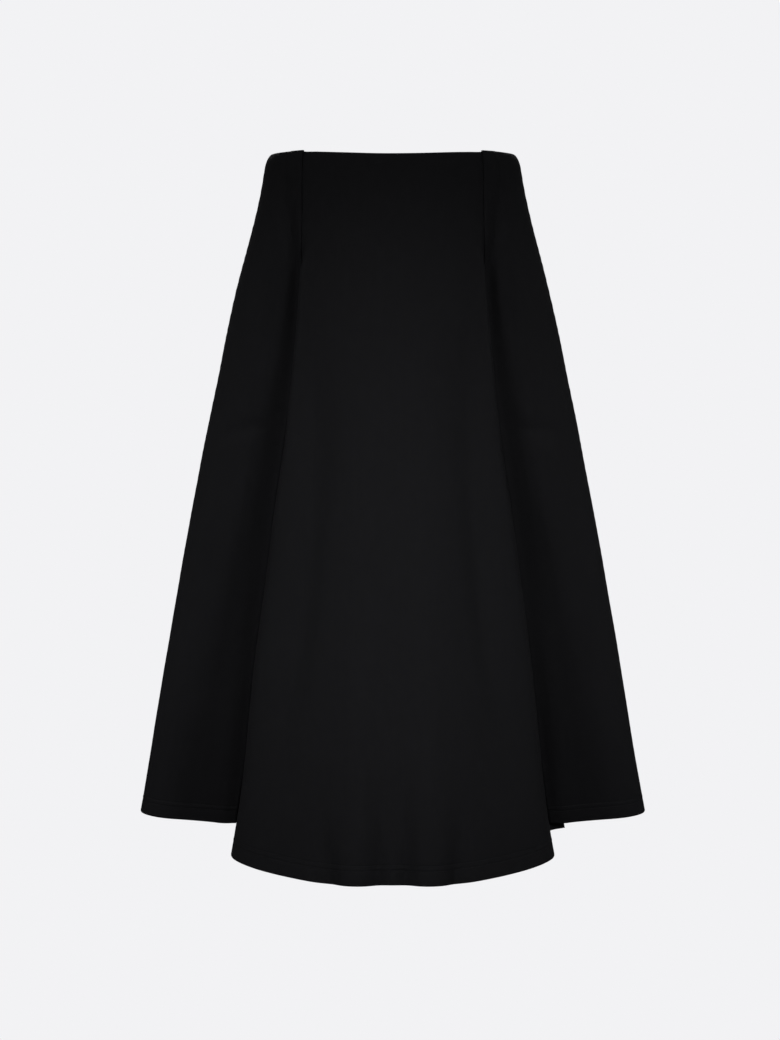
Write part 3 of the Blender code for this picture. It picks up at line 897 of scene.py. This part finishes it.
def running_stitch_tree():
    """Short rounded stitches, one after another along a path."""
    sizes = ("Pitch", "Stitch length", "Thread width")
    nodes, (path, pitch, length, width) = new_tree("running_stitch", sizes)
    line = nodes.add("GeometryNodeMeshToCurve", {}, {"Mesh": path})
    line = nodes.add("GeometryNodeResampleCurve", {"mode": "LENGTH"}, {"Curve": line, "Length": pitch})
    ball = nodes.add("GeometryNodeMeshUVSphere", {}, {"Segments": 6, "Rings": 4, "Radius": 0.5})
    size = nodes.add("ShaderNodeCombineXYZ", {}, {0: width, 1: width, 2: length})
    along = nodes.add("GeometryNodeInputTangent", {}, {})
    turn = nodes.add("FunctionNodeAlignRotationToVector", {"axis": "Z"}, {"Vector": along})
    inputs = {"Points": line, "Instance": ball, "Rotation": turn, "Scale": size}
    return finish_tree(nodes, nodes.add("GeometryNodeInstanceOnPoints", {}, inputs))


def zigzag_tree():
    """One thread that runs to and fro across a path."""
    nodes, (path, pitch, reach, width) = new_tree("zigzag", ("Pitch", "Reach", "Thread width"))
    line = nodes.add("GeometryNodeMeshToCurve", {}, {"Mesh": path})
    line = nodes.add("GeometryNodeResampleCurve", {"mode": "LENGTH"}, {"Curve": line, "Length": pitch * 0.5})
    index = nodes.add("GeometryNodeInputIndex", {}, {})
    swing = (index % 2.0 - 0.5) * reach
    aside = nodes.add("GeometryNodeInputNamedAttribute", {"data_type": "FLOAT_VECTOR"}, {"Name": "aside"})
    inputs = {0: aside, "Scale": swing}
    offset = nodes.add("ShaderNodeVectorMath", {"operation": "SCALE"}, inputs)
    line = nodes.add("GeometryNodeSetPosition", {}, {"Geometry": line, "Offset": offset})
    profile = nodes.add("GeometryNodeCurvePrimitiveCircle", {}, {"Resolution": 4, "Radius": width * 0.5})
    inputs = {"Curve": line, "Profile Curve": profile}
    return finish_tree(nodes, nodes.add("GeometryNodeCurveToMesh", {}, inputs))


RUNNING_STITCH = running_stitch_tree()
ZIGZAG = zigzag_tree()


def row_at(surface, above_hem):
    """Index of the row of points that lies at one height above the hem."""
    return len(surface.drops) - len(HEM_ROWS) + HEM_ROWS.index(above_hem)


def sew(name, tree, paths, **sizes):
    """Sew a thread along paths. Each path is a list of points and the direction its zigzag swings."""
    mesh = bpy.data.meshes.new(name + "_path")
    points, asides, edges = [], [], []
    for path, aside in paths:
        edges += [(len(points) + i, len(points) + i + 1) for i in range(len(path) - 1)]
        points += path.tolist()
        asides += aside.tolist()
    mesh.from_pydata(points, edges, [])
    mesh.attributes.new("aside", "FLOAT_VECTOR", "POINT").data.foreach_set("vector", np.ravel(asides))
    thread = bpy.data.objects.new(name, mesh)
    bpy.context.scene.collection.objects.link(thread)
    modifier = thread.modifiers.new("sewing", "NODES")
    modifier.node_group = tree
    for socket in tree.interface.items_tree:
        if socket.name in sizes:
            modifier[socket.identifier] = sizes[socket.name]
    evaluated = thread.evaluated_get(bpy.context.evaluated_depsgraph_get())
    made = bpy.data.meshes.new_from_object(evaluated)
    thread.modifiers.clear()
    thread.data = made
    made.name = name
    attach(thread, "root")


def seen_columns(surface):
    """Columns of a panel that show from outside: all but the allowances that run under a side front."""
    rim = EDGE_STEPS[:-1]
    return np.flatnonzero([c.lift > 0.0 or (c.laps == 0.0 and c.edge not in rim) for c in surface.columns])


def inside_path(surface, row, columns, width):
    """A thread's path along a row, just off the inside, and the way down the cloth, in which it swings."""
    path = surface.inner[row, columns] - surface.normal[row, columns] * (width / 2)
    return path, unit(surface.inner[row + 1, columns] - surface.inner[row - 1, columns])


ALL_SURFACES = (centre_surface, side_surfaces["left"], side_surfaces["right"], back_surface)
needle_paths, looper_paths = [], []
for surface in ALL_SURFACES:
    columns = seen_columns(surface)
    for height in STITCH_ROWS:
        row = row_at(surface, height)
        outwards = surface.normal[row, columns]
        needle_paths.append((surface.outer[row, columns] + outwards * (THREAD_WIDTH / 2 - SUNK), outwards))
    middle = (row_at(surface, STITCH_ROWS[0]) + row_at(surface, STITCH_ROWS[1])) // 2
    looper_paths.append(inside_path(surface, middle, columns, THREAD_WIDTH))
sizes = {"Pitch": STITCH_PITCH, "Stitch length": STITCH_LENGTH, "Thread width": THREAD_WIDTH}
sew("hem_needle_rows", RUNNING_STITCH, needle_paths, **sizes)
between_rows = STITCH_ROWS[0] - STITCH_ROWS[1]
sizes = {"Pitch": STITCH_PITCH, "Reach": between_rows, "Thread width": LOOPER_WIDTH}
sew("hem_looper_thread", ZIGZAG, looper_paths, **sizes)


# --------------------------------------------------------------------------------------------------------
# The overlocking: a black thread that loops to and fro over every cut edge inside, so that it can't fray or
# curl. It runs along the turned waist, the turned hem, the side seams' pressed allowances and the front
# seams' allowances.

OVERLOCK_PITCH = 0.0024
OVERLOCK_REACH = 0.0036
OVERLOCK_THREAD = 0.00030
OVERLOCK_COLUMN = len(EDGE_STEPS) + 1  # of the centre front, counted from an allowance's cut edge

edge_paths = list(cut_edges)
for surface in ALL_SURFACES:
    waist_row = TOP_ROWS.index(WAIST_TURN - TURN_FADE) - 1
    hem_row = row_at(surface, HEM_TURN - TURN_FADE) + 1
    for row in (waist_row, hem_row):
        edge_paths.append(inside_path(surface, row, seen_columns(surface), OVERLOCK_THREAD))
rows = slice(TOP_ROWS.index(EDGE_STEPS[-1]), row_at(centre_surface, EDGE_STEPS[-1]))
last_column = len(centre_surface.columns) - 1
for column, step in ((OVERLOCK_COLUMN, -1), (last_column - OVERLOCK_COLUMN, 1)):
    inside = centre_surface.inner[rows, column] - centre_surface.normal[rows, column] * (OVERLOCK_THREAD / 2)
    aside = centre_surface.inner[rows, column + step] - centre_surface.inner[rows, column]
    edge_paths.append((inside, unit(aside)))
sizes = {"Pitch": OVERLOCK_PITCH, "Reach": OVERLOCK_REACH, "Thread width": OVERLOCK_THREAD}
sew("overlocked_edges", ZIGZAG, edge_paths, **sizes)


# --------------------------------------------------------------------------------------------------------
# Studio: a pale floor that sweeps up into a plain backdrop, soft light from the front, the sides and behind,
# and the camera at the photograph's angle, a little above the middle of the skirt and tilted down to it.

CAMERA_DISTANCE = 2.4
CAMERA_DROP = 0.06
CAMERA_ASIDE = -0.00303
CAMERA_TILT = 8.08
LENS = 75.33
FLOOR_DROP = 1.05
FLOOR_RADIUS = 3.85
SWEEP_OUT = 3.15
SWEEP_UP = 3.0
SWEEP_STEPS = 12
SWEEP_SEGMENTS = 64
STUDIO_WHITE = (0.888, 0.888, 0.905, 1.0)

white, nodes, _ = new_material("studio_white")
white.node_tree.nodes.remove(white.node_tree.nodes["Principled BSDF"])
glow = nodes.add("ShaderNodeEmission", {}, {"Color": STUDIO_WHITE})
nodes.give(white.node_tree.nodes["Material Output"].inputs["Surface"], glow)

sweep_profile = [(0.0, -FLOOR_DROP), (FLOOR_RADIUS, -FLOOR_DROP)]
for step in range(1, SWEEP_STEPS + 1):
    turn = math.pi / 2 - math.pi * step / SWEEP_STEPS
    height = -FLOOR_DROP + SWEEP_UP * (1.0 - math.sin(turn))
    sweep_profile.append((FLOOR_RADIUS + SWEEP_OUT * math.cos(turn), height))
sweep_profile.append((0.0, -FLOOR_DROP + 2.0 * SWEEP_UP))
sweep_points, sweep_faces = [], []
for ring in range(SWEEP_SEGMENTS):
    turn = 2.0 * math.pi * ring / SWEEP_SEGMENTS
    for radius, height in sweep_profile:
        sweep_points.append((radius * math.cos(turn), radius * math.sin(turn), height))
    for i in range(len(sweep_profile) - 1):
        a = ring * len(sweep_profile) + i
        b = (ring + 1) % SWEEP_SEGMENTS * len(sweep_profile) + i
        sweep_faces.append((a, a + 1, b + 1, b))
sweep_mesh = bpy.data.meshes.new("studio_sweep")
sweep_mesh.from_pydata(sweep_points, [], sweep_faces)
sweep_mesh.materials.append(white)
sweep = bpy.data.objects.new("studio_sweep", sweep_mesh)
bpy.context.scene.collection.objects.link(sweep)
sweep.visible_diffuse = False
sweep.visible_glossy = False
sweep.visible_shadow = False

AMBIENT = 0.07
world = bpy.data.worlds.new("studio")
world.use_nodes = True
world.node_tree.nodes["Background"].inputs["Color"].default_value = (1.0, 1.0, 1.0, 1.0)
world.node_tree.nodes["Background"].inputs["Strength"].default_value = AMBIENT
bpy.context.scene.world = world

AIM_DROP = 0.50
SoftBox = namedtuple("SoftBox", "name azimuth elevation aim_aside width tall spread power")
SOFT_BOXES = (
    SoftBox("front_left", -38.0, 33.0, -0.10, 0.9, 0.74, 16.0, 0.80),
    SoftBox("front_right", 38.0, 33.0, 0.10, 0.9, 0.74, 16.0, 0.80),
    SoftBox("side_left", -75.0, 15.0, 0.0, 0.9, 0.74, 16.0, 0.20),
    SoftBox("side_right", 75.0, 15.0, 0.0, 0.9, 0.74, 16.0, 0.20),
    SoftBox("back_left", -172.0, 38.0, 0.0, 0.8, 0.8, 90.0, 5.4),
    SoftBox("back_right", 172.0, 38.0, 0.0, 0.8, 0.8, 90.0, 5.4),
)
BOX_DISTANCE = 2.6
for box in SOFT_BOXES:
    lamp = bpy.data.lights.new(box.name, "AREA")
    lamp.shape = "RECTANGLE"
    lamp.size = box.width
    lamp.size_y = box.tall
    lamp.spread = math.radians(box.spread)
    lamp.energy = box.power
    holder = bpy.data.objects.new(box.name, lamp)
    bpy.context.scene.collection.objects.link(holder)
    aim = Matrix.Translation((box.aim_aside, 0.0, -AIM_DROP))
    turned = Matrix.Rotation(math.radians(box.azimuth), 4, "Z")
    tilted = Matrix.Rotation(math.radians(90.0 - box.elevation), 4, "X")
    holder.matrix_world = aim @ turned @ tilted @ Matrix.Translation((0.0, 0.0, BOX_DISTANCE))
    holder.visible_camera = False

camera = bpy.data.objects.new("camera", bpy.data.cameras.new("camera"))
camera.data.lens = LENS
camera.data.sensor_width = 36.0
camera.data.clip_end = 50.0
camera.location = (CAMERA_ASIDE, -CAMERA_DISTANCE, -CAMERA_DROP)
camera.rotation_euler = (math.radians(90.0 - CAMERA_TILT), 0.0, 0.0)
bpy.context.scene.collection.objects.link(camera)
bpy.context.scene.camera = camera
bpy.context.scene.view_settings.view_transform = "Standard"
